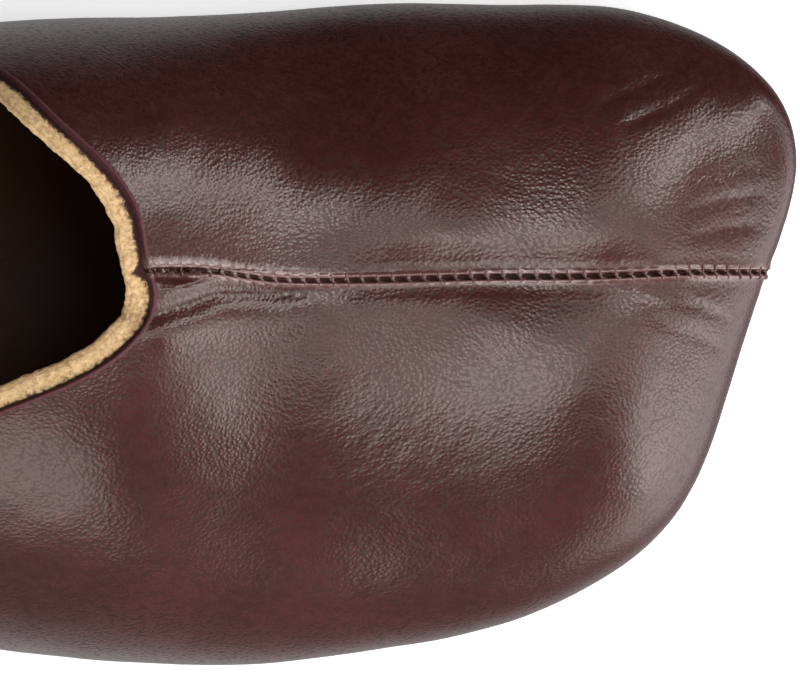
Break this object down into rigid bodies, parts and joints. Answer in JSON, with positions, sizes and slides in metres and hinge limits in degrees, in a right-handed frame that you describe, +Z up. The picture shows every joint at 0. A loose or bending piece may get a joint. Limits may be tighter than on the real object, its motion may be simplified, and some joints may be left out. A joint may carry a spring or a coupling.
{
  "type": "pump",
  "caption": "Woman's right pump: soft leather upper with a middle vamp seam, open collar, thin sole and mid-height block heel.",
  "frame": {"origin": "on the floor, under the middle of the shoe's box", "axes": "+X towards the toe, +Y towards the inner (big-toe) side of the foot, +Z up"},
  "size_m": [0.2499, 0.0925, 0.1041],
  "materials": {
    "upper_leather": "burgundy nappa, soft shine",
    "sock_leather": "tan, matt",
    "sole_leather": "smooth natural sole leather",
    "heel_leather": "burgundy nappa stretched over a block",
    "tip_rubber": "matt black"
  },
  "bodies": {
    "root": {"upper": "upper_leather", "insole": "sock_leather", "outsole": "sole_leather", "heel": "heel_leather", "heel_tip": "tip_rubber"}
  },
  "joints": []
}
